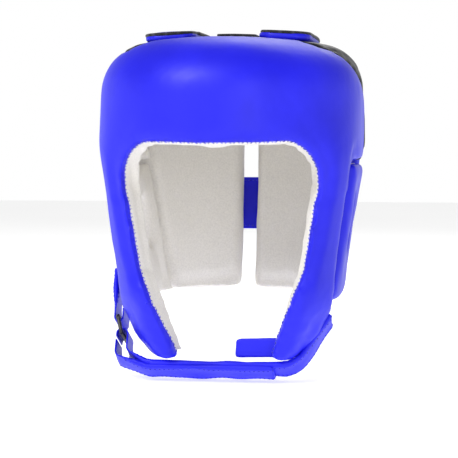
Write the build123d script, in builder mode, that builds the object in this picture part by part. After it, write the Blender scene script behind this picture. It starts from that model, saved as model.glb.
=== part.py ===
from build123d import *
import os
from math import atan2, cos, degrees, hypot, radians, sin

# Open-face boxing headgear: a horseshoe pad over forehead and cheeks, two ear pads, two rear wings closed
# by a hook-and-loop flap, a black padded crown with two lifting pads, and a chin strap through a ring.
# Millimetres, +Z up. The face looks towards -Y, x = 0 is the middle plane, z = 0 is the lowest line of
# the chin strap, and y = 0 is the middle of the head.

os.makedirs("parts", exist_ok=True)

# Head form: the outer surface of the pads. Its plan is two half circles joined by short flat sides.
temple_radius = 106.5
flat_side_half = 18.0
crown_height = 271.0
crown_slope_drop = 7.0
crown_corner_radius = 40.0
temple_bend_height = 182.0
neck_radius, neck_height = 88.0, 62.0
jaw_radius, jaw_height = 62.0, 18.0
side_bend_radius = 120.0
neck_bend_radius = 60.0
foot_bend_radius = 10.0

# Layers of a pad, from outside to inside.
cover_thickness = 1.0
foam_thickness = 21.0
lining_thickness = 1.5
layer_gap = 0.2
seam_gap = 0.6
reach = 200.0

# Front pad: forehead and cheeks around the face opening.
forehead_top_y = -58.0
forehead_top_height = 263.0
forehead_side_y = 8.0
forehead_side_height = 244.0
temple_y = 36.0
temple_top_height = 222.0
cheek_rear_y = -45.0
cheek_rear_height = 173.0
cheek_low_y = -37.0
cheek_bottom_height = 20.0
opening_half_width, opening_wide_height = 79.0, 155.0
opening_top_height = 193.0
opening_corner_radius = 31.0
opening_mid_half_width, opening_mid_height = 68.0, 90.0
opening_chin_half_width = 33.0
opening_bend_radius = 40.0
foam_edge_inset = 4.0
lining_edge_inset = 9.0

# Ear pads, with a hole over each ear.
ear_pad_rear_y = 47.0
ear_pad_bottom_height = 62.0
ear_hole_y = 4.0
ear_hole_height = 124.0
ear_hole_width, ear_hole_length = 24.0, 44.0

# Rear wings and their closing flap.
wing_top_height = 206.0
wing_gap = 9.0
flap_bottom_height, flap_top_height = 112.0, 158.0
flap_hinge_x = -34.0
flap_seam_width = 8.0
flap_reach_x = 48.0
flap_thickness = 2.2
patch_thickness = 1.0
patch_margin = 4.0
loop_patch_x = 12.0

# Crown pads that lie on the black crown, and the strap in the gap between them.
crown_pad_foam = 6.3
crown_pad_inner_x = 24.0
crown_pad_outer_x = 67.0
crown_pad_front_y, crown_pad_rear_y = -52.0, 62.0
crown_pad_corner_radius = 14.0
crown_binding_width = 2.2
crown_strap_front_y, crown_strap_rear_y = -38.0, -8.0
crown_strap_thickness = 2.0
crown_strap_end_x = 22.5
crown_strap_hinge_x = 14.0
crown_strap_free_x = -9.0
crown_loop_free_x = 10.5

# Chin strap: bands of webbing whose width leans back and down under the chin. Points are across, up.
strap_width = 26.0
strap_thickness = 2.5
strap_tilt = 26.0
strap_front_y = -62.0
strap_layer_gap = 0.6
strap_right_end = (81.2, 46.0)
strap_right_bend_x = 56.0
strap_left_bend_x = -62.0
strap_bend_radius = 22.0
strap_rise_height = 15.0
tail_free_x = 38.0
tail_start_drop = 3.0
ring_bar = 3.0
ring_clearance = 1.7
keeper_clearance = 0.6
ring_lower_bar = (-84.0, 28.0)
ring_upper_bar = (-88.0, 42.0)
ring_side_clearance = 1.5
ring_corner_radius = 4.0
ring_edge_fillet = 1.2
side_strap_top = (-93.6, 84.0)
side_strap_bend_height = 52.0
side_strap_return_height = 50.0

# Chin tab, a leather tongue beside the left cheek's lower end.
tab_free_x = 8.0
tab_bottom_height, tab_top_height = 19.0, 33.0
tab_rear_y = -47.0
tab_thickness = 2.5

body_gap = 0.35

# Rear flap's layers outside the rear wings, and the head form's middle, which centres the whole on y = 0.
loop_patch_in = body_gap
loop_patch_out = loop_patch_in + patch_thickness
hook_patch_in = loop_patch_out + body_gap
hook_patch_out = hook_patch_in + patch_thickness
flap_in = hook_patch_out + layer_gap
flap_out = flap_in + flap_thickness
flap_wall_lean = (temple_radius - neck_radius) / (temple_bend_height - neck_height)
flap_wall_radius = temple_radius - flap_wall_lean * (temple_bend_height - flap_top_height)
form_middle_y = -max(flap_wall_radius + flap_out - temple_radius, 0.0) / 2


def form_section(growth):
    """Section through the head form, grown outwards, whole on the right of the middle line."""
    below = jaw_height - reach / 4
    with BuildSketch(Plane.XZ) as section:
        with BuildLine():
            outline = FilletPolyline(
                (-temple_radius, crown_height + crown_slope_drop),
                (temple_radius, crown_height - crown_slope_drop),
                (temple_radius, temple_bend_height),
                (neck_radius, neck_height),
                (jaw_radius, jaw_height),
                (jaw_radius, below),
                radius=[crown_corner_radius, side_bend_radius, neck_bend_radius, foot_bend_radius],
            )
            Line(outline @ 1, (-temple_radius, below))
            Line((-temple_radius, below), outline @ 0)
        make_face()
        if growth:
            offset(amount=growth)
    return section.sketch


def shell(outer, inner):
    """The space between two growths of the head form."""
    with BuildSketch(Plane.XZ) as wall:
        add(form_section(outer))
        add(form_section(inner), mode=Mode.SUBTRACT)
        with Locations((reach / 2, jaw_height + reach)):
            Rectangle(reach, 2 * reach, mode=Mode.INTERSECT)
    with BuildPart() as layer:
        with BuildSketch(Plane.XZ.offset(-form_middle_y)):
            add(wall.sketch)
            mirror(about=Plane.YZ)
        extrude(amount=flat_side_half, both=True)
        for end in (-1, 1):
            centre_y = form_middle_y + end * flat_side_half
            with BuildSketch(Plane.XZ.offset(-centre_y)):
                add(wall.sketch)
            centre = Axis((0.0, centre_y, 0.0), (0.0, 0.0, float(end)))
            revolve(axis=centre, revolution_arc=180)
    return layer.part


def opening_half_at(height, inset):
    """Half width of the face opening beside the jaw at a height."""
    low = jaw_height - foam_thickness
    share = (height - low) / (opening_mid_height - low)
    return opening_chin_half_width + share * (opening_mid_half_width - opening_chin_half_width) - inset


def save(part, name):
    part.label = name
    export_step(part, f"parts/{name}.step")
    return part


# Growths of each layer's faces, measured from the outer surface of the pads.
cover_in = -cover_thickness
foam_out = cover_in - layer_gap
foam_in = foam_out - foam_thickness
lining_out = foam_in - layer_gap
lining_in = lining_out - lining_thickness

cover_shell = shell(0.0, cover_in)
foam_shell = shell(foam_out, foam_in)
lining_shell = shell(lining_out, lining_in)
pad_layers = (("cover", cover_shell), ("foam", foam_shell), ("lining", lining_shell))

# Side outlines (y, z) of the pads.
front_outline = [
    (-reach, cheek_bottom_height),
    (cheek_low_y, cheek_bottom_height),
    (cheek_low_y, ear_pad_bottom_height - seam_gap),
    (cheek_rear_y, ear_pad_bottom_height - seam_gap),
    (cheek_rear_y, cheek_rear_height),
    (temple_y, cheek_rear_height),
    (temple_y, temple_top_height),
    (forehead_side_y, forehead_side_height),
    (forehead_top_y, forehead_top_height),
    (forehead_top_y, reach * 2),
    (-reach, reach * 2),
]
ear_outline = [
    (cheek_rear_y + seam_gap, ear_pad_bottom_height),
    (ear_pad_rear_y, ear_pad_bottom_height),
    (ear_pad_rear_y, cheek_rear_height - seam_gap),
    (cheek_rear_y + seam_gap, cheek_rear_height - seam_gap),
]
wing_outline = [
    (ear_pad_rear_y + seam_gap, ear_pad_bottom_height),
    (reach, ear_pad_bottom_height),
    (reach, wing_top_height),
    (ear_pad_rear_y + seam_gap, wing_top_height),
]
crown_outline = [
    (forehead_top_y + seam_gap, reach * 2),
    (forehead_top_y + seam_gap, forehead_top_height + seam_gap),
    (forehead_side_y + seam_gap, forehead_side_height + seam_gap),
    (temple_y + seam_gap, temple_top_height + seam_gap),
    (temple_y + seam_gap, cheek_rear_height),
    (ear_pad_rear_y, cheek_rear_height),
    (ear_pad_rear_y, wing_top_height + seam_gap),
    (reach, wing_top_height + seam_gap),
    (reach, reach * 2),
]


def side_region(outline):
    """A slab across the whole width with a side outline of (y, z) points."""
    with BuildPart() as region:
        with BuildSketch(Plane.YZ):
            with BuildLine():
                Polyline(*outline, close=True)
            make_face()
        extrude(amount=reach, both=True)
    return region.part


def face_opening(inset):
    """The face opening as a block from the head's middle forwards, smaller all round by inset."""
    top = opening_top_height - inset
    low = jaw_height - foam_thickness
    with BuildPart() as opening:
        with BuildSketch(Plane.XZ):
            with BuildLine():
                edge = FilletPolyline(
                    (0.0, top),
                    (opening_half_width - inset, top),
                    (opening_half_width - inset, opening_wide_height),
                    (opening_mid_half_width - inset, opening_mid_height),
                    (opening_chin_half_width - inset, low),
                    radius=[opening_corner_radius - inset, opening_bend_radius, opening_bend_radius],
                )
                Line(edge @ 1, (0.0, low))
                Line((0.0, low), edge @ 0)
            make_face()
            mirror(about=Plane.YZ)
        extrude(amount=reach)
    return opening.part


front_region = side_region(front_outline)
ear_region = side_region(ear_outline)
wing_region = side_region(wing_outline)
crown_region = side_region(crown_outline)
opening_insets = {"cover": 0.0, "foam": foam_edge_inset, "lining": lining_edge_inset}

for layer_name, layer_shell in pad_layers:
    with BuildPart() as front_pad:
        add(layer_shell)
        add(front_region, mode=Mode.INTERSECT)
        add(face_opening(opening_insets[layer_name]), mode=Mode.SUBTRACT)
    save(front_pad.part, f"front_{layer_name}")

    with BuildPart() as crown:
        add(layer_shell)
        add(crown_region, mode=Mode.INTERSECT)
    save(crown.part, f"crown_{layer_name}")

    for side_name, side_sign in (("left", 1), ("right", -1)):
        with BuildPart() as ear_pad:
            add(layer_shell)
            add(ear_region, mode=Mode.INTERSECT)
            with BuildSketch(Plane.YZ):
                with Locations((ear_hole_y, ear_hole_height)):
                    SlotOverall(ear_hole_length, ear_hole_width, rotation=90)
            extrude(amount=reach * side_sign, mode=Mode.SUBTRACT)
            split(bisect_by=Plane.YZ, keep=Keep.TOP if side_sign > 0 else Keep.BOTTOM)
        save(ear_pad.part, f"ear_{layer_name}_{side_name}")

        with BuildPart() as wing:
            add(layer_shell)
            add(wing_region, mode=Mode.INTERSECT)
            split(
                bisect_by=Plane.YZ.offset(side_sign * wing_gap / 2),
                keep=Keep.TOP if side_sign > 0 else Keep.BOTTOM,
            )
        save(wing.part, f"rear_{layer_name}_{side_name}")


def plan_region(x_low, x_high, y_low, y_high, corner=0.0):
    """An upright block above the temples with a rounded plan outline."""
    with BuildPart() as region:
        with BuildSketch(Plane.XY.offset(temple_top_height)):
            with Locations(((x_low + x_high) / 2, (y_low + y_high) / 2)):
                if corner > 0:
                    RectangleRounded(x_high - x_low, y_high - y_low, corner)
                else:
                    Rectangle(x_high - x_low, y_high - y_low)
        extrude(amount=reach)
    return region.part


# Crown pads: a foam and a leather cover on the black crown, one each side of the middle gap.
pad_foam_in = body_gap
pad_foam_out = pad_foam_in + crown_pad_foam
pad_cover_in = pad_foam_out + layer_gap
pad_cover_out = pad_cover_in + cover_thickness
pad_foam_shell = shell(pad_foam_out, pad_foam_in)
pad_cover_shell = shell(pad_cover_out, pad_cover_in)
binding_shell = shell(pad_cover_out, pad_foam_in)

for side_name, side_sign in (("left", 1), ("right", -1)):
    x_ends = sorted((side_sign * crown_pad_inner_x, side_sign * crown_pad_outer_x))
    bound = plan_region(*x_ends, crown_pad_front_y, crown_pad_rear_y, crown_pad_corner_radius)
    inner_x = sorted(
        (
            side_sign * (crown_pad_inner_x + crown_binding_width),
            side_sign * (crown_pad_outer_x - crown_binding_width),
        )
    )
    filled = plan_region(
        *inner_x,
        crown_pad_front_y + crown_binding_width,
        crown_pad_rear_y - crown_binding_width,
        crown_pad_corner_radius - crown_binding_width,
    )
    for piece_name, piece_shell in (("foam", pad_foam_shell), ("cover", pad_cover_shell)):
        with BuildPart() as crown_pad:
            add(piece_shell)
            add(filled, mode=Mode.INTERSECT)
        save(crown_pad.part, f"crown_pad_{piece_name}_{side_name}")
    with BuildPart() as binding:
        add(binding_shell)
        add(bound, mode=Mode.INTERSECT)
        add(filled, mode=Mode.SUBTRACT)
    save(binding.part, f"crown_pad_binding_{side_name}")

# Crown strap: a loop strap and a hook strap that overlaps it in the middle of the gap.
loop_strap_in = body_gap
loop_strap_out = loop_strap_in + crown_strap_thickness
hook_strap_in = loop_strap_out + body_gap
hook_strap_out = hook_strap_in + crown_strap_thickness
crown_strap_pieces = (
    ("crown_loop_strap", loop_strap_in, loop_strap_out, -crown_strap_end_x, crown_loop_free_x),
    ("crown_strap_seam", loop_strap_in, hook_strap_out, crown_strap_hinge_x, crown_strap_end_x),
    ("crown_hook_strap", hook_strap_in, hook_strap_out, crown_strap_free_x, crown_strap_hinge_x - seam_gap),
)
for piece_name, inner, outer, x_low, x_high in crown_strap_pieces:
    with BuildPart() as crown_strap:
        add(shell(outer, inner))
        add(plan_region(x_low, x_high, crown_strap_front_y, crown_strap_rear_y), mode=Mode.INTERSECT)
    save(crown_strap.part, piece_name)


def back_region(x_low, x_high, margin=0.0):
    """A block behind the head at the height of the rear flap."""
    with BuildPart() as region:
        with BuildSketch(Plane.XZ):
            with Locations(((x_low + x_high) / 2, (flap_bottom_height + flap_top_height) / 2)):
                Rectangle(x_high - x_low, flap_top_height - flap_bottom_height - 2 * margin)
        extrude(amount=-reach)
    return region.part


# Rear flap: sewn to the right wing, pressed on the left wing's loop patch.
seam_x = flap_hinge_x - seam_gap
rear_pieces = (
    ("rear_flap_seam", body_gap, flap_out, seam_x - flap_seam_width, seam_x, 0.0),
    ("rear_flap", flap_in, flap_out, flap_hinge_x, flap_reach_x, 0.0),
    ("rear_hook_patch", hook_patch_in, hook_patch_out, loop_patch_x, flap_reach_x - patch_margin, patch_margin),
    ("rear_loop_patch", loop_patch_in, loop_patch_out, loop_patch_x, flap_reach_x, patch_margin),
)
for piece_name, inner, outer, x_low, x_high, margin in rear_pieces:
    with BuildPart() as rear_piece:
        add(shell(outer, inner))
        add(back_region(x_low, x_high, margin), mode=Mode.INTERSECT)
    save(rear_piece.part, piece_name)

# Chin strap. All its pieces are drawn in one plane whose normal leans forward and up, so that each band's
# width runs back and down, and its rear edge is the lowest line of the object.
strap_front_height = strap_width * sin(radians(strap_tilt))
strap_plane = Plane(
    origin=(0.0, strap_front_y, strap_front_height),
    x_dir=(1.0, 0.0, 0.0),
    z_dir=(0.0, -cos(radians(strap_tilt)), sin(radians(strap_tilt))),
)
half_strap = strap_thickness / 2
inner_line = strap_thickness + strap_layer_gap + half_strap
bar_x, bar_up = ring_lower_bar
pivot_x, pivot_up = ring_upper_bar
fold_radius = ring_bar / 2 + ring_clearance + half_strap
keeper_radius = ring_bar / 2 + keeper_clearance + half_strap

with BuildPart() as chin_strap:
    with BuildSketch(strap_plane):
        with BuildLine() as strap_line:
            run = FilletPolyline(
                strap_right_end,
                (strap_right_bend_x, inner_line),
                (strap_left_bend_x, inner_line),
                (bar_x + fold_radius, strap_rise_height),
                (bar_x + fold_radius, bar_up),
                radius=[strap_bend_radius, strap_bend_radius, fold_radius],
            )
            fold = ThreePointArc(run @ 1, (bar_x, bar_up + fold_radius), (bar_x - fold_radius, bar_up))
            Line(fold @ 1, (bar_x - fold_radius, bar_up - tail_start_drop))
        trace(strap_line.line, line_width=strap_thickness)
    extrude(amount=-strap_width)
save(chin_strap.part, "chin_strap")

with BuildPart() as chin_tail:
    with BuildSketch(strap_plane):
        with BuildLine() as tail_line:
            FilletPolyline(
                (bar_x - fold_radius, bar_up - tail_start_drop - seam_gap),
                (bar_x - fold_radius, strap_rise_height - inner_line),
                (strap_left_bend_x, half_strap),
                (tail_free_x, half_strap),
                radius=[fold_radius, strap_bend_radius],
            )
        trace(tail_line.line, line_width=strap_thickness)
    extrude(amount=-strap_width)
save(chin_tail.part, "chin_strap_tail")

with BuildPart() as side_strap:
    with BuildSketch(strap_plane):
        with BuildLine() as side_line:
            drop = FilletPolyline(
                side_strap_top,
                (pivot_x - keeper_radius, side_strap_bend_height),
                (pivot_x - keeper_radius, pivot_up),
                radius=[strap_bend_radius],
            )
            turn = ThreePointArc(drop @ 1, (pivot_x, pivot_up - keeper_radius), (pivot_x + keeper_radius, pivot_up))
            Line(turn @ 1, (pivot_x + keeper_radius, side_strap_return_height))
        trace(side_line.line, line_width=strap_thickness)
    extrude(amount=-strap_width)
save(side_strap.part, "chin_side_strap")

# Ring: a moulded rectangular loop whose two bars run along the width of the straps.
bar_spacing = hypot(pivot_x - bar_x, pivot_up - bar_up)
ring_lean = degrees(atan2(pivot_up - bar_up, pivot_x - bar_x))
ring_middle = strap_plane.from_local_coords(
    ((pivot_x + bar_x) / 2, (pivot_up + bar_up) / 2, -strap_width / 2)
)
along_bars = strap_plane.x_dir.rotate(Axis((0, 0, 0), strap_plane.z_dir), ring_lean)
ring_plane = Plane(origin=ring_middle, x_dir=along_bars, z_dir=along_bars.cross(strap_plane.z_dir))
ring_inside = strap_width + 2 * ring_side_clearance
with BuildPart() as chin_ring:
    with BuildSketch(ring_plane):
        RectangleRounded(bar_spacing + ring_bar, ring_inside + 2 * ring_bar, ring_corner_radius)
        RectangleRounded(bar_spacing - ring_bar, ring_inside, ring_bar / 2, mode=Mode.SUBTRACT)
    extrude(amount=ring_bar / 2, both=True)
    fillet(chin_ring.edges(), ring_edge_fillet)
save(chin_ring.part, "chin_ring")

with BuildPart() as chin_tab:
    tab_end_x = opening_half_at(cheek_bottom_height, foam_edge_inset) - seam_gap
    with BuildSketch(Plane.XZ.offset(-tab_rear_y)):
        with Locations(((tab_free_x + tab_end_x) / 2, (tab_bottom_height + tab_top_height) / 2)):
            RectangleRounded(tab_end_x - tab_free_x, tab_top_height - tab_bottom_height, tab_thickness)
    extrude(amount=tab_thickness)
save(chin_tab.part, "chin_tab")
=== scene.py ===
from math import cos, hypot, pi, radians, sin

import bpy
import bmesh
from bpy.props import FloatProperty, PointerProperty, StringProperty
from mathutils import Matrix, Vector, noise


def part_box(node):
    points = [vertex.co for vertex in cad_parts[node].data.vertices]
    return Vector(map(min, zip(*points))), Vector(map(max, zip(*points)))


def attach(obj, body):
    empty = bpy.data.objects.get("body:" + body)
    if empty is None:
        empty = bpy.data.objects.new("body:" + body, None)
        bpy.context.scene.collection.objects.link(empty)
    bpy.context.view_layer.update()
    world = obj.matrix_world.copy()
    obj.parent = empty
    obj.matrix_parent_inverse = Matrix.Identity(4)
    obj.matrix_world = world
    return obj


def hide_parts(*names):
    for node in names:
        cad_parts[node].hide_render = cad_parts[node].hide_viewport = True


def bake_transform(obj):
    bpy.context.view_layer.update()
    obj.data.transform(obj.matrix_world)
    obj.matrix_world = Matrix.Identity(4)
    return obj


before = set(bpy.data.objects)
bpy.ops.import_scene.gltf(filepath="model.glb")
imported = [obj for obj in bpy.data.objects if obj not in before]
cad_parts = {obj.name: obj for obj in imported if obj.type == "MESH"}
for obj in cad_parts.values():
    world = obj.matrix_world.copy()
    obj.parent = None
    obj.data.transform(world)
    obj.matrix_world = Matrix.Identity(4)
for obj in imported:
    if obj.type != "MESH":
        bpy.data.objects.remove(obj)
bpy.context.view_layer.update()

bl_info = {
    "name": "Boxing Headgear",
    "version": (1, 0, 0),
    "blender": (4, 5, 0),
    "location": "3D View > Sidebar > Headgear",
    "description": "Padded boxing headgear built around its construction frame",
    "category": "Mesh",
}

# The head form that the pads follow, in metres.
FORM_MIDDLE_Y = (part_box("front_cover")[0].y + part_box("crown_cover")[1].y) / 2
TEMPLE_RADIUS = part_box("front_cover")[1].x
FLAT_SIDE_HALF = FORM_MIDDLE_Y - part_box("front_cover")[0].y - TEMPLE_RADIUS
CROWN_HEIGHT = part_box("crown_cover")[1].z
CROWN_DROP = 0.007
CROWN_CORNER = 0.040
# Radius and height where the form's wall bends: temple, neck and jaw.
PROFILE = ((TEMPLE_RADIUS, 0.182), (0.088, 0.062), (0.062, 0.018))

# The chin strap's bands are drawn in a leaning plane: their width runs back and down.
STRAP_TILT = radians(26.0)
STRAP_WIDTH = 0.026
STRAP_BACK = Vector((0.0, cos(STRAP_TILT), -sin(STRAP_TILT)))
STRAP_FRONT_EDGE = Vector((0.0, -0.062, STRAP_WIDTH * sin(STRAP_TILT))).dot(STRAP_BACK)


# ---------------------------------------------------------------- small tools
def colour(hex_value):
    """Linear colour of an sRGB hex value."""
    channels = [int(hex_value[i:i + 2], 16) / 255 for i in (1, 3, 5)]
    return tuple(c / 12.92 if c <= 0.04045 else ((c + 0.055) / 1.055) ** 2.4 for c in channels) + (1.0,)


def deselect():
    if bpy.context.object and bpy.context.object.mode != "OBJECT":
        bpy.ops.object.mode_set(mode="OBJECT")
    bpy.ops.object.select_all(action="DESELECT")


def activate(piece):
    deselect()
    piece.select_set(True)
    bpy.context.view_layer.objects.active = piece


def finished(piece, name, material, body, slot, *nodes):
    """Names a piece, gives it its finish and fastens it to its body, if it is given one."""
    piece.name = name
    piece.data.name = name
    if material:
        piece.data.materials.clear()
        piece.data.materials.append(material)
    if body:
        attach(piece, body)
    if nodes:
        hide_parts(*nodes)
    return piece


def modify(piece, kind, **settings):
    """Adds a modifier and applies it."""
    activate(piece)
    modifier = piece.modifiers.new(kind.title(), kind)
    for key, value in settings.items():
        setattr(modifier, key, value)
    bpy.ops.object.modifier_apply(modifier=modifier.name)


def copy_of(name, *nodes):
    """A new piece with the merged meshes of construction nodes."""
    built = bmesh.new()
    for node in nodes:
        built.from_mesh(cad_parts[node].data)
    bmesh.ops.remove_doubles(built, verts=built.verts, dist=0.00001)
    mesh = bpy.data.meshes.new(name)
    built.to_mesh(mesh)
    built.free()
    piece = bpy.data.objects.new(name, mesh)
    bpy.context.scene.collection.objects.link(piece)
    return piece


def depth_inside(point):
    """Depth below the outer surface of the head form, in metres, negative outside it."""
    middle = min(max(point.y, FORM_MIDDLE_Y - FLAT_SIDE_HALF), FORM_MIDDLE_Y + FLAT_SIDE_HALF)
    across = hypot(point.x, point.y - middle)
    top = CROWN_HEIGHT - CROWN_DROP * across / TEMPLE_RADIUS
    out, up = across - (TEMPLE_RADIUS - CROWN_CORNER), point.z - (top - CROWN_CORNER)
    if out > 0 and up > 0:
        return CROWN_CORNER - hypot(out, up)
    nearest = min(top - point.z, 1.0)
    temple, neck, jaw = PROFILE
    if point.z > temple[1]:
        return min(nearest, temple[0] - across)
    (wide, high), (narrow, low) = (temple, neck) if point.z > neck[1] else (neck, jaw)
    slope = (wide - narrow) / (high - low)
    wall = narrow + slope * (point.z - low)
    return min(nearest, (wall - across) / hypot(1.0, slope))


def push_along_normals(piece, amount):
    """Moves each point along its normal by a distance or by a function of its place."""
    normals = [vertex.normal.copy() for vertex in piece.data.vertices]
    for vertex, normal in zip(piece.data.vertices, normals):
        vertex.co += normal * (amount(vertex.co) if callable(amount) else amount)


def inflate(piece, pressure, cap):
    """Swells a closed pad like stuffing under a skin, by at most cap outwards and a third of it inwards."""
    rest = [(vertex.co.copy(), vertex.normal.copy()) for vertex in piece.data.vertices]
    activate(piece)
    cloth = piece.modifiers.new("Cloth", "CLOTH")
    settings = cloth.settings
    settings.quality = 4
    settings.use_pressure = True
    settings.uniform_pressure_force = pressure
    settings.effector_weights.gravity = 0.0
    settings.tension_stiffness = 20.0
    settings.compression_stiffness = 20.0
    settings.bending_stiffness = 2.0
    cloth.point_cache.frame_start = 1
    cloth.point_cache.frame_end = 20
    for number in range(1, 21):
        bpy.context.scene.frame_set(number)
    swollen = piece.evaluated_get(bpy.context.evaluated_depsgraph_get())
    moved = [vertex.co.copy() for vertex in swollen.data.vertices]
    piece.modifiers.remove(cloth)
    bpy.context.scene.frame_set(1)
    for vertex, (start, normal), end in zip(piece.data.vertices, rest, moved):
        vertex.co = start + normal * min(max((end - start).dot(normal), -cap / 3), cap)


def mark_depth(piece):
    """Stores each point's depth in the pad, which places the edge between leather and lining."""
    attribute = piece.data.attributes.new("pad_depth", "FLOAT", "POINT")
    for index, vertex in enumerate(piece.data.vertices):
        attribute.data[index].value = depth_inside(vertex.co)


def pad_from(name, voxel, nodes, swell):
    """A stuffed pad in the space of its construction nodes."""
    piece = copy_of(name, *nodes)
    modify(piece, "REMESH", mode="VOXEL", voxel_size=voxel, use_smooth_shade=True)
    modify(piece, "SMOOTH", factor=0.5, iterations=12)
    push_along_normals(piece, -0.2 * swell)
    inflate(piece, 7.0, swell)
    modify(piece, "SMOOTH", factor=0.5, iterations=2)
    push_along_normals(piece, unevenness(0.045, 0.0012, len(name)))
    modify(piece, "SUBSURF", levels=1, render_levels=1)
    activate(piece)
    bpy.ops.object.shade_smooth()
    return piece


# ---------------------------------------------------------------- materials
def node(tree, kind, settings=None, **links):
    """Adds a shader node, sets its sockets or properties, and links its inputs."""
    made = tree.nodes.new(kind)
    for key, value in (settings or {}).items():
        if key in made.inputs.keys():
            made.inputs[key].default_value = value
        elif isinstance(key, int):
            made.inputs[key].default_value = value
        else:
            setattr(made, key, value)
    for key, source in links.items():
        target = int(key[1:]) if key[0] == "i" and key[1:].isdigit() else key.replace("_", " ")
        tree.links.new(source, made.inputs[target])
    return made


def new_material(name, settings):
    """A material with its shader, whose constant values are set on the shader itself."""
    made = bpy.data.materials.new(name)
    made.use_nodes = True
    tree = made.node_tree
    shader = tree.nodes["Principled BSDF"]
    for key, value in settings.items():
        shader.inputs[key].default_value = value
    place = node(tree, "ShaderNodeTexCoord").outputs["Object"]
    return made, tree, shader, place


def ramp(tree, source, stops):
    """A colour ramp of (position, colour) stops."""
    made = node(tree, "ShaderNodeValToRGB", Fac=source)
    elements = made.color_ramp.elements
    while len(elements) < len(stops):
        elements.new(0.5)
    for element, (position, value) in zip(elements, stops):
        element.position = position
        element.color = value
    return made.outputs["Color"]


def mix(tree, factor, first, second):
    """Mixes two colours by a factor."""
    made = tree.nodes.new("ShaderNodeMix")
    made.data_type = "RGBA"
    tree.links.new(factor, made.inputs["Factor"])
    for index, value in ((6, first), (7, second)):
        if isinstance(value, tuple):
            made.inputs[index].default_value = value
        else:
            tree.links.new(value, made.inputs[index])
    return made.outputs[2]


def math_node(tree, operation, first, second=0.0):
    """A sum, product or other working of two values or outputs."""
    made = tree.nodes.new("ShaderNodeMath")
    made.operation = operation
    for index, value in enumerate((first, second)):
        if isinstance(value, (int, float)):
            made.inputs[index].default_value = value
        else:
            tree.links.new(value, made.inputs[index])
    return made.outputs[0]


def leather_height(tree, place):
    """Embossed grain of about a millimetre, with soft creases some 20 mm apart, as one height in metres."""
    grain = node(tree, "ShaderNodeTexVoronoi", {"feature": "SMOOTH_F1", "Scale": 900.0}, Vector=place)
    crease = node(tree, "ShaderNodeTexNoise", {"Scale": 55.0, "Detail": 3.0, "Roughness": 0.55}, Vector=place)
    fine = math_node(tree, "MULTIPLY", grain.outputs["Distance"], 0.00004)
    soft = math_node(tree, "MULTIPLY", crease.outputs["Fac"], 0.0006)
    return math_node(tree, "ADD", fine, soft)


def blue_leather(colours):
    """Polyurethane-coated synthetic leather: embossed grain, semi-matte, slightly uneven blue. Made once."""
    if "coated_leather_blue" in bpy.data.materials:
        return bpy.data.materials["coated_leather_blue"]
    made, tree, shader, place = new_material("coated_leather_blue", {
        "Specular IOR Level": 0.3, "Coat Weight": 0.08, "Coat Roughness": 0.35,
    })
    clouds = node(tree, "ShaderNodeTexNoise", {"Scale": 14.0, "Detail": 4.0}, Vector=place)
    stops = ((0.3, colour(colours.leather_dark)), (0.7, colour(colours.leather)))
    tree.links.new(ramp(tree, clouds.outputs["Fac"], stops), shader.inputs["Base Color"])
    polish = node(tree, "ShaderNodeMapRange", {"To Min": 0.42, "To Max": 0.55}, Value=clouds.outputs["Fac"])
    tree.links.new(polish.outputs["Result"], shader.inputs["Roughness"])
    grain = leather_height(tree, place)
    bump = node(tree, "ShaderNodeBump", {"Strength": 0.6, "Distance": 1.0}, Height=grain)
    tree.links.new(bump.outputs["Normal"], shader.inputs["Normal"])
    return made


def pad_material(name, leather, leather_dark, lining, edge_depth):
    """Leather outside and napped lining inside, parted where the pad is edge_depth deep."""
    made, tree, shader, place = new_material(name, {"Specular IOR Level": 0.3, "Coat Roughness": 0.35})
    clouds = node(tree, "ShaderNodeTexNoise", {"Scale": 14.0, "Detail": 4.0}, Vector=place)
    outside = ramp(tree, clouds.outputs["Fac"], ((0.3, colour(leather_dark)), (0.7, colour(leather))))
    nap = node(tree, "ShaderNodeTexNoise", {"Scale": 700.0, "Detail": 5.0, "Roughness": 0.7}, Vector=place)
    darker = tuple(c * 0.85 for c in colour(lining)[:3]) + (1.0,)
    inside = ramp(tree, nap.outputs["Fac"], ((0.3, darker), (0.65, colour(lining))))
    depth = node(tree, "ShaderNodeAttribute", {"attribute_name": "pad_depth"}).outputs["Fac"]
    part = node(tree, "ShaderNodeMapRange", {
        "From Min": edge_depth - 0.0002, "From Max": edge_depth + 0.0002,
    }, Value=depth).outputs["Result"]
    tree.links.new(mix(tree, part, outside, inside), shader.inputs["Base Color"])
    rough = node(tree, "ShaderNodeMapRange", {"To Min": 0.46, "To Max": 0.95}, Value=part)
    tree.links.new(rough.outputs["Result"], shader.inputs["Roughness"])
    coat = node(tree, "ShaderNodeMapRange", {"To Min": 0.08, "To Max": 0.0}, Value=part)
    tree.links.new(coat.outputs["Result"], shader.inputs["Coat Weight"])
    fuzz = math_node(tree, "MULTIPLY", nap.outputs["Fac"], 0.0005)
    skin = leather_height(tree, place)
    step = math_node(tree, "SUBTRACT", fuzz, skin)
    height = math_node(tree, "ADD", skin, math_node(tree, "MULTIPLY", step, part))
    bump = node(tree, "ShaderNodeBump", {"Strength": 0.6, "Distance": 1.0}, Height=height)
    tree.links.new(bump.outputs["Normal"], shader.inputs["Normal"])
    return made


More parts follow.
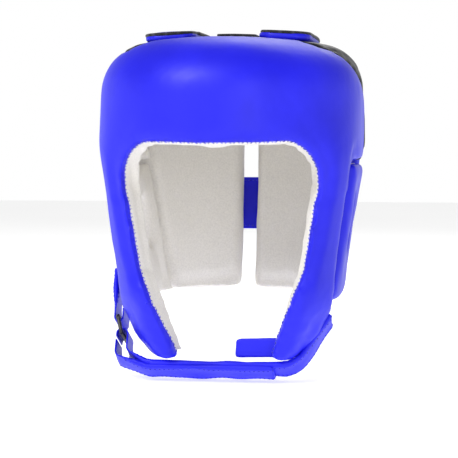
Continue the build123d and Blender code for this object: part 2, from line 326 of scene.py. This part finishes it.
def woven(name, base, dark, pitch_mm, roughness):
    """Plain-woven polyester: two crossing thread directions, matt with a little sheen."""
    made, tree, shader, place = new_material(name, {
        "IOR": 1.5, "Roughness": roughness, "Sheen Weight": 0.25, "Sheen Roughness": 0.5,
    })
    bands = []
    for direction in ("X", "DIAGONAL"):
        wave = node(tree, "ShaderNodeTexWave", {
            "Scale": 50.0 / pitch_mm, "Distortion": 0.6, "Detail": 1.0, "bands_direction": direction,
        }, Vector=place)
        bands.append(wave.outputs["Fac"])
    weave = math_node(tree, "MULTIPLY", bands[0], bands[1])
    dust = node(tree, "ShaderNodeTexNoise", {"Scale": 60.0, "Detail": 4.0}, Vector=place)
    # Darker where the weave's bump is low: painted shade in the hollows between the ribs, mixed with random
    # dust tone.
    weave_shade_and_dust = math_node(tree, "MULTIPLY", weave, dust.outputs["Fac"])
    tone = ramp(tree, weave_shade_and_dust, ((0.0, colour(dark)), (0.6, colour(base))))
    tree.links.new(tone, shader.inputs["Base Color"])
    height = math_node(tree, "MULTIPLY", weave, 0.0003)
    bump = node(tree, "ShaderNodeBump", {"Strength": 0.8, "Distance": 1.0}, Height=height)
    tree.links.new(bump.outputs["Normal"], shader.inputs["Normal"])
    return made


def hook_tape():
    """Nylon hook-and-loop tape: fine matt pile in rows about a millimetre apart."""
    made, tree, shader, place = new_material("hook_and_loop_tape", {
        "Roughness": 0.9, "Sheen Weight": 0.4, "Sheen Roughness": 0.4,
    })
    pile = node(tree, "ShaderNodeTexVoronoi", {"Scale": 1100.0}, Vector=place)
    tone = ramp(tree, pile.outputs["Distance"], ((0.0, colour("#3A3A40")), (0.7, colour("#0C0C0E"))))
    tree.links.new(tone, shader.inputs["Base Color"])
    height = math_node(tree, "MULTIPLY", pile.outputs["Distance"], 0.0006)
    bump = node(tree, "ShaderNodeBump", {"Strength": 0.9, "Distance": 1.0}, Height=height)
    tree.links.new(bump.outputs["Normal"], shader.inputs["Normal"])
    return made


def moulded_plastic():
    """Injection-moulded acetal: satin, with faint flow marks."""
    made, tree, shader, place = new_material("moulded_acetal_black", {"IOR": 1.48})
    marks = node(tree, "ShaderNodeTexNoise", {"Scale": 220.0, "Detail": 6.0}, Vector=place)
    tone = ramp(tree, marks.outputs["Fac"], ((0.35, colour("#101012")), (0.75, colour("#26262A"))))
    tree.links.new(tone, shader.inputs["Base Color"])
    polish = node(tree, "ShaderNodeMapRange", {"To Min": 0.3, "To Max": 0.5}, Value=marks.outputs["Fac"])
    tree.links.new(polish.outputs["Result"], shader.inputs["Roughness"])
    return made


def thread():
    """Twisted polyester sewing thread, made once."""
    if "sewing_thread_blue" in bpy.data.materials:
        return bpy.data.materials["sewing_thread_blue"]
    made, tree, shader, place = new_material("sewing_thread_blue", {"Roughness": 0.6, "Sheen Weight": 0.3})
    twist = node(tree, "ShaderNodeTexWave", {"Scale": 160.0, "bands_direction": "DIAGONAL"}, Vector=place)
    tone = ramp(tree, twist.outputs["Fac"], ((0.2, colour("#1414A8")), (0.8, colour("#4A4AF4"))))
    tree.links.new(tone, shader.inputs["Base Color"])
    return made


# ---------------------------------------------------------------- stitches
def contour_points(piece, field, spacing, wanted):
    """Evenly spaced (place, along, normal) on a piece where a field crosses zero, if wanted keeps them."""
    mesh = bmesh.new()
    mesh.from_mesh(piece.data)
    crossing, steps = {}, {}
    for edge in mesh.edges:
        a, b = (field(vertex.co) for vertex in edge.verts)
        if (a < 0) != (b < 0):
            share = a / (a - b)
            start, end = edge.verts
            place = start.co.lerp(end.co, share)
            normal = start.normal.lerp(end.normal, share).normalized()
            crossing[edge.index] = (place, normal)
    for face in mesh.faces:
        cut = [edge.index for edge in face.edges if edge.index in crossing]
        if len(cut) == 2:
            steps.setdefault(cut[0], []).append(cut[1])
            steps.setdefault(cut[1], []).append(cut[0])
    mesh.free()
    placed, seen = [], set()
    for first in sorted(steps):
        if first in seen:
            continue
        line, here = [first], first
        seen.add(first)
        while True:
            onward = [index for index in steps[here] if index not in seen]
            if not onward:
                break
            here = onward[0]
            seen.add(here)
            line.append(here)
        carried = 0.0
        for index in range(1, len(line)):
            (p, n), (q, m) = crossing[line[index - 1]], crossing[line[index]]
            length = (q - p).length
            while length > 0 and carried + length >= spacing:
                share = (spacing - carried) / length
                place = p.lerp(q, share)
                along, normal = (q - p).normalized(), n.lerp(m, share).normalized()
                if wanted(place, normal):
                    placed.append((place, along, normal))
                p, n, length, carried = place, normal, (q - place).length, 0.0
            carried += length
    return placed


def stitches(name, places, length, radius, slant):
    """Short rounded threads at an angle to a seam's line, each sunk a little at both ends. Overcast
    stitches lean either way in turn, and a slant of a right angle gives a running stitch."""
    built = bmesh.new()
    for index, (place, along, normal) in enumerate(places):
        across = normal.cross(along).normalized()
        lean = slant if index % 2 else -slant
        line = (across * cos(lean) + along * sin(lean)).normalized()
        side = normal.cross(line).normalized()
        rings = []
        for step in range(5):
            travel = (step / 4 - 0.5) * length
            lift = radius * (1.1 - 1.6 * abs(step / 4 - 0.5) * 2)
            thick = radius * (1.0 if 0 < step < 4 else 0.45)
            centre = place + line * travel + normal * lift
            ring = []
            for corner in range(6):
                turn = corner * pi / 3
                ring.append(built.verts.new(centre + (side * cos(turn) + normal * sin(turn)) * thick))
            rings.append(ring)
        for before, after in zip(rings, rings[1:]):
            for corner in range(6):
                onward = (corner + 1) % 6
                built.faces.new((before[corner], before[onward], after[onward], after[corner]))
        built.faces.new(list(reversed(rings[0])))
        built.faces.new(rings[-1])
    bmesh.ops.recalc_face_normals(built, faces=built.faces)
    mesh = bpy.data.meshes.new(name)
    built.to_mesh(mesh)
    built.free()
    piece = bpy.data.objects.new(name, mesh)
    bpy.context.scene.collection.objects.link(piece)
    activate(piece)
    bpy.ops.object.shade_smooth()
    return piece


def everywhere(place, normal):
    """Keeps all of a contour."""
    return True


def running_stitch(piece, name, body, fields, wanted=everywhere):
    """Straight rows of thread on a piece, along the lines where the fields are zero."""
    places = []
    for field in fields:
        places += contour_points(piece, field, 0.0036, wanted)
    row = stitches(name, places, 0.0027, 0.0003, pi / 2)
    finished(row, name, thread(), body, "blue_webbing")


def piping(name, piece, field, radius):
    """A round cord sewn along a piece's edge, where the field is zero."""
    curve = bpy.data.curves.new(name, "CURVE")
    curve.dimensions = "3D"
    curve.bevel_depth = radius
    curve.bevel_resolution = 3
    found = contour_points(piece, field, 0.002, everywhere)
    line = curve.splines.new("POLY")
    line.points.add(len(found) - 1)
    line.use_cyclic_u = True
    for point, (place, along, normal) in zip(line.points, found):
        point.co = (*place, 1.0)
    cord = bpy.data.objects.new(name, curve)
    bpy.context.scene.collection.objects.link(cord)
    activate(cord)
    bpy.ops.object.convert(target="MESH")
    bpy.ops.object.shade_smooth()
    return cord


def unevenness(spacing, height, seed):
    """A gentle random swell for push_along_normals, with hollows a spacing apart."""
    origin = Vector((seed, seed * 0.7, -seed))
    return lambda place: noise.noise(place / spacing + origin) * height


# ---------------------------------------------------------------- settings
class HeadgearSizes(bpy.types.PropertyGroup):
    pad_grid: FloatProperty(name="Pad grid", description="Mesh size of the soft pads", default=0.0035,
                            unit="LENGTH", subtype="DISTANCE")
    pad_swell: FloatProperty(name="Pad swell", description="How far a pad's skin may swell", default=0.003,
                             unit="LENGTH", subtype="DISTANCE")
    jaw_swell: FloatProperty(name="Jaw swell", description="Extra stuffing at the cheeks' lower ends",
                             default=0.0035, unit="LENGTH", subtype="DISTANCE")
    lining_edge: FloatProperty(name="Lining edge", description="Depth in the pad where the lining starts",
                               default=0.0075, unit="LENGTH", subtype="DISTANCE")
    stitch_pitch: FloatProperty(name="Stitch pitch", description="Distance between overcast stitches",
                                default=0.0032, unit="LENGTH", subtype="DISTANCE")
    strap_grid: FloatProperty(name="Strap grid", description="Mesh size of the folded straps", default=0.0011,
                              unit="LENGTH", subtype="DISTANCE")


class HeadgearColours(bpy.types.PropertyGroup):
    leather: StringProperty(name="Leather", description="Light tone of the leather", default="#2222EC")
    leather_dark: StringProperty(name="Dark leather", description="Its dark tone", default="#1414D2")
    lining: StringProperty(name="Lining", description="Napped lining cloth", default="#F3F0E9")
    black: StringProperty(name="Black cloth", description="Crown cloth", default="#1B1B20")
    black_dark: StringProperty(name="Dark cloth", description="Hollows of the cloth", default="#0C0C0F")


class HeadgearPiece:
    """Settings that every operator reads."""
    bl_options = {"REGISTER"}

    @property
    def sizes(self):
        return bpy.context.scene.headgear_sizes

    @property
    def colours(self):
        return bpy.context.scene.headgear_colours

    def pad_finish(self, black=False):
        """The two-sided finish of a pad, made once for each outer cloth."""
        name = "pad_black_and_lining" if black else "pad_leather_and_lining"
        if name in bpy.data.materials:
            return bpy.data.materials[name]
        tones = ("black", "black_dark") if black else ("leather", "leather_dark")
        light, dark = (getattr(self.colours, tone) for tone in tones)
        return pad_material(name, light, dark, self.colours.lining, self.sizes.lining_edge)


class HEADGEAR_OT_front_pad(HeadgearPiece, bpy.types.Operator):
    """Forehead and cheek pad around the face opening, with its overcast seam"""
    bl_idname = "headgear.front_pad"
    bl_label = "Front pad"

    def jaw_fullness(self, place):
        """The cheeks' lower ends are stuffed fuller outwards, and their leather is rumpled there."""
        low = min(max((0.085 - place.z) / 0.05, 0.0), 1.0)
        outer = min(max((0.014 - depth_inside(place)) / 0.008, 0.0), 1.0)
        rumple = noise.noise(place / 0.017) * 0.0016 + noise.noise(place / 0.008) * 0.0006
        return low * outer * (self.sizes.jaw_swell + rumple)

    def execute(self, context):
        nodes = ("front_cover", "front_foam", "front_lining")
        pad = pad_from("front_pad", self.sizes.pad_grid, nodes, self.sizes.pad_swell)
        push_along_normals(pad, self.jaw_fullness)
        mark_depth(pad)
        finished(pad, "front_pad", self.pad_finish(), "shell", "blue_leather", *nodes)
        middle = Vector((0.0, 0.0, 0.12))

        def faces_opening(place, normal):
            inward = middle - place
            inward.y = 0.0
            return place.y < -0.03 and normal.dot(inward.normalized()) > 0.25 and place.z < 0.205

        edge = self.sizes.lining_edge
        places = contour_points(pad, lambda p: depth_inside(p) - edge, self.sizes.stitch_pitch, faces_opening)
        seam = stitches("front_pad_overcast", places, 0.0042, 0.00038, radians(24))
        finished(seam, "front_pad_overcast", thread(), "shell", "blue_leather")
        return {"FINISHED"}


class HEADGEAR_OT_side_pads(HeadgearPiece, bpy.types.Operator):
    """Ear pads and rear wings"""
    bl_idname = "headgear.side_pads"
    bl_label = "Ear pads and rear wings"

    def execute(self, context):
        for pad_name in ("ear", "rear"):
            for side in ("left", "right"):
                nodes = [f"{pad_name}_{layer}_{side}" for layer in ("cover", "foam", "lining")]
                name = f"{pad_name}_pad_{side}"
                pad = pad_from(name, self.sizes.pad_grid, nodes, self.sizes.pad_swell)
                mark_depth(pad)
                finished(pad, name, self.pad_finish(), "shell", "blue_leather", *nodes)
        return {"FINISHED"}


class HEADGEAR_OT_crown(HeadgearPiece, bpy.types.Operator):
    """Black padded crown, its two lifting pads with their binding, and the crown strap"""
    bl_idname = "headgear.crown"
    bl_label = "Crown"

    def execute(self, context):
        nodes = ("crown_cover", "crown_foam", "crown_lining")
        crown = pad_from("crown", self.sizes.pad_grid * 1.1, nodes, self.sizes.pad_swell * 0.6)
        mark_depth(crown)
        finished(crown, "crown", self.pad_finish(black=True), "shell", "black_fabric", *nodes)
        tape = woven("ribbed_tape_black", "#3A3A42", "#0B0B0D", 0.8, 0.75)
        leather = blue_leather(self.colours)
        for side in ("left", "right"):
            body = f"crown_pad_{side}"
            covers = [f"crown_pad_{layer}_{side}" for layer in ("cover", "foam", "binding")]
            pad = pad_from(body, 0.0022, covers, 0.0015)
            finished(pad, f"crown_pad_leather_{side}", leather, body, "blue_leather", *covers)
            edge = max(-depth_inside(vertex.co) for vertex in pad.data.vertices) - 0.0028
            cord = piping(f"crown_pad_piping_{side}", pad, lambda place: -depth_inside(place) - edge, 0.0015)
            finished(cord, f"crown_pad_piping_{side}", tape, body, "black_webbing")
        loop = copy_of("crown_loop_strap", "crown_loop_strap")
        hook = copy_of("crown_hook_strap", "crown_hook_strap", "crown_strap_seam")
        for piece in (loop, hook):
            modify(piece, "REMESH", mode="VOXEL", voxel_size=0.0008, use_smooth_shade=True)
            modify(piece, "SMOOTH", factor=0.5, iterations=3)
        slot = "black_webbing"
        finished(loop, "crown_loop_strap_tape", tape, "shell", slot, "crown_loop_strap")
        finished(hook, "crown_hook_strap_tape", tape, None, slot, "crown_hook_strap", "crown_strap_seam")
        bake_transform(hook)
        return {"FINISHED"}


class HEADGEAR_OT_rear_closure(HeadgearPiece, bpy.types.Operator):
    """Rear flap with its seam and hook-and-loop patches"""
    bl_idname = "headgear.rear_closure"
    bl_label = "Rear closure"

    def execute(self, context):
        leather = blue_leather(self.colours)
        pile = hook_tape()
        for piece_name, body in (("rear_hook_patch", "rear_closure"), ("rear_loop_patch", "shell")):
            piece = copy_of(piece_name, piece_name)
            modify(piece, "REMESH", mode="VOXEL", voxel_size=0.0008, use_smooth_shade=True)
            modify(piece, "SMOOTH", factor=0.5, iterations=3)
            finished(piece, f"{piece_name}_tape", pile, body, "hook_and_loop", piece_name)
        flap = copy_of("rear_flap", "rear_flap", "rear_flap_seam")
        modify(flap, "REMESH", mode="VOXEL", voxel_size=0.0009, use_smooth_shade=True)
        modify(flap, "SMOOTH", factor=0.5, iterations=3)
        low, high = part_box("rear_flap")
        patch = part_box("rear_hook_patch")[0].x
        rows = (lambda place: place.z - low.z - 0.003, lambda place: place.z - high.z + 0.003,
                lambda place: place.x - high.x + 0.004, lambda place: place.x - patch)
        running_stitch(flap, "rear_flap_stitching", "rear_closure", rows,
                       lambda place, normal: place.x > low.x + 0.006)
        finished(flap, "rear_flap_leather", leather, None, "blue_leather", "rear_flap", "rear_flap_seam")
        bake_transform(flap)
        return {"FINISHED"}


class HEADGEAR_OT_chin_straps(HeadgearPiece, bpy.types.Operator):
    """Chin strap, its tail, the side strap, the ring and the tab"""
    bl_idname = "headgear.chin_straps"
    bl_label = "Chin straps"

    def execute(self, context):
        leather = blue_leather(self.colours)
        rows = (STRAP_FRONT_EDGE + 0.003, STRAP_FRONT_EDGE + STRAP_WIDTH - 0.003)
        ring_low, ring_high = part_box("chin_ring")
        ring_middle = (ring_low + ring_high) / 2

        def clear_of_ring(place):
            """0 in the folds that hold the ring, rising to 1 away from them."""
            apart = hypot(place.x - ring_middle.x, place.z - ring_middle.z)
            return min(max((apart - 0.017) / 0.01, 0.0), 1.0)

        for piece_name, body in (("chin_strap", "shell"), ("chin_strap_tail", "chin_tail"),
                                 ("chin_side_strap", "shell"), ("chin_tab", "shell")):
            piece = copy_of(piece_name, piece_name)
            modify(piece, "REMESH", mode="VOXEL", voxel_size=self.sizes.strap_grid, use_smooth_shade=True)
            modify(piece, "SMOOTH", factor=0.5, iterations=3)
            waves = unevenness(0.02, 0.0013, len(piece_name))
            push_along_normals(piece, lambda place: clear_of_ring(place) * (0.0014 + waves(place)) - 0.0006)
            if piece_name == "chin_tab":
                low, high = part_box(piece_name)
                for vertex in piece.data.vertices:
                    vertex.co.x += 0.007 * (vertex.co.x - low.x) / (high.x - low.x)
            else:
                running_stitch(piece, f"{piece_name}_stitching", body,
                               [lambda place, line=line: place.dot(STRAP_BACK) - line for line in rows],
                               lambda place, normal: clear_of_ring(place) > 0.5)
            finished(piece, f"{piece_name}_leather", leather, body, "blue_webbing", piece_name)
        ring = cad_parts["chin_ring"]
        ring.data.materials.clear()
        ring.data.materials.append(moulded_plastic())
        return {"FINISHED"}


class HEADGEAR_OT_stage(HeadgearPiece, bpy.types.Operator):
    """Pale floor, soft studio light and the camera"""
    bl_idname = "headgear.stage"
    bl_label = "Stage"

    distance: FloatProperty(name="Distance", description="Camera to the object's middle", default=1.3,
                            unit="LENGTH", subtype="DISTANCE")
    frame_width: FloatProperty(name="Frame width", description="Width seen at the object's middle",
                               default=0.3756, unit="LENGTH", subtype="DISTANCE")

    def execute(self, context):
        deselect()
        bpy.ops.mesh.primitive_plane_add(size=8.0, location=(0.0, 0.0, -0.0012))
        floor = context.object
        floor.name = "floor"
        made, tree, shader, place = new_material("pale_paper_floor", {
            "Roughness": 0.9, "Emission Color": (1.0, 1.0, 1.0, 1.0), "Emission Strength": 0.56,
        })
        fibre = node(tree, "ShaderNodeTexNoise", {"Scale": 3.0, "Detail": 3.0}, Vector=place)
        tone = ramp(tree, fibre.outputs["Fac"], ((0.3, colour("#F4F4F4")), (0.7, colour("#FBFBFB"))))
        tree.links.new(tone, shader.inputs["Base Color"])
        floor.data.materials.append(made)
        world = bpy.data.worlds.new("studio")
        context.scene.world = world
        world.use_nodes = True
        tree = world.node_tree
        towards = node(tree, "ShaderNodeTexCoord").outputs["Generated"]
        way = node(tree, "ShaderNodeSeparateXYZ", Vector=towards)
        # White round the horizon, dimmer above and below it and in front of the object.
        level = math_node(tree, "ABSOLUTE", way.outputs["Z"])
        glow = node(tree, "ShaderNodeMapRange", {
            "From Min": 0.2, "From Max": 0.35, "To Min": 1.0, "To Max": 0.3,
        }, Value=level)
        front = node(tree, "ShaderNodeMapRange", {
            "From Min": -0.9, "From Max": -0.3, "To Min": 0.25, "To Max": 1.0,
        }, Value=way.outputs["Y"])
        strength = math_node(tree, "MINIMUM", glow.outputs["Result"], front.outputs["Result"])
        tree.links.new(strength, tree.nodes["Background"].inputs["Strength"])
        tree.nodes["Background"].inputs["Color"].default_value = (1.0, 1.0, 1.0, 1.0)
        context.scene.view_settings.view_transform = "Standard"
        # Key lamp from the upper left, a weak fill in front, and one from behind.
        for place_of, size, power in (((-0.8, -1.3, 1.2), 0.6, 19.0), ((0.6, -1.5, 0.4), 0.8, 5.0),
                                      ((0.2, 1.2, 1.3), 1.0, 9.0)):
            bpy.ops.object.light_add(type="AREA", location=place_of)
            lamp = context.object
            lamp.data.size = size
            lamp.data.energy = power
            aim = Vector((0.0, 0.0, 0.14)) - Vector(place_of)
            lamp.rotation_euler = aim.to_track_quat("-Z", "Y").to_euler()
        azimuth, elevation = radians(8.0), radians(3.0)
        back = Vector((sin(azimuth) * cos(elevation), -cos(azimuth) * cos(elevation), sin(elevation)))
        right = Vector((cos(azimuth), sin(azimuth), 0.0))
        target = Vector((0.0, 0.0, 0.1177)) - right * 0.0045
        data = bpy.data.cameras.new("camera")
        camera = bpy.data.objects.new("camera", data)
        context.scene.collection.objects.link(camera)
        data.sensor_width = 36.0
        data.lens = 36.0 * self.distance / self.frame_width
        camera.location = target + back * self.distance
        camera.rotation_euler = (-back).to_track_quat("-Z", "Y").to_euler()
        context.scene.camera = camera
        return {"FINISHED"}


class HEADGEAR_PT_panel(bpy.types.Panel):
    """Lists the headgear's pieces"""
    bl_idname = "HEADGEAR_PT_panel"
    bl_label = "Boxing headgear"
    bl_space_type = "VIEW_3D"
    bl_region_type = "UI"
    bl_category = "Headgear"

    def draw(self, context):
        for operator in OPERATORS:
            self.layout.operator(operator.bl_idname)


OPERATORS = (
    HEADGEAR_OT_stage,
    HEADGEAR_OT_front_pad,
    HEADGEAR_OT_side_pads,
    HEADGEAR_OT_crown,
    HEADGEAR_OT_rear_closure,
    HEADGEAR_OT_chin_straps,
)
CLASSES = (HeadgearSizes, HeadgearColours) + OPERATORS + (HEADGEAR_PT_panel,)


def register():
    for item in CLASSES:
        bpy.utils.register_class(item)
    bpy.types.Scene.headgear_sizes = PointerProperty(type=HeadgearSizes)
    bpy.types.Scene.headgear_colours = PointerProperty(type=HeadgearColours)


def unregister():
    del bpy.types.Scene.headgear_colours
    del bpy.types.Scene.headgear_sizes
    for item in reversed(CLASSES):
        bpy.utils.unregister_class(item)


def main():
    register()
    for operator in OPERATORS:
        area, name = operator.bl_idname.split(".")
        if "FINISHED" not in getattr(getattr(bpy.ops, area), name)():
            raise RuntimeError(f"{operator.bl_label} wasn't finished")
    deselect()


if __name__ == "__main__":
    main()
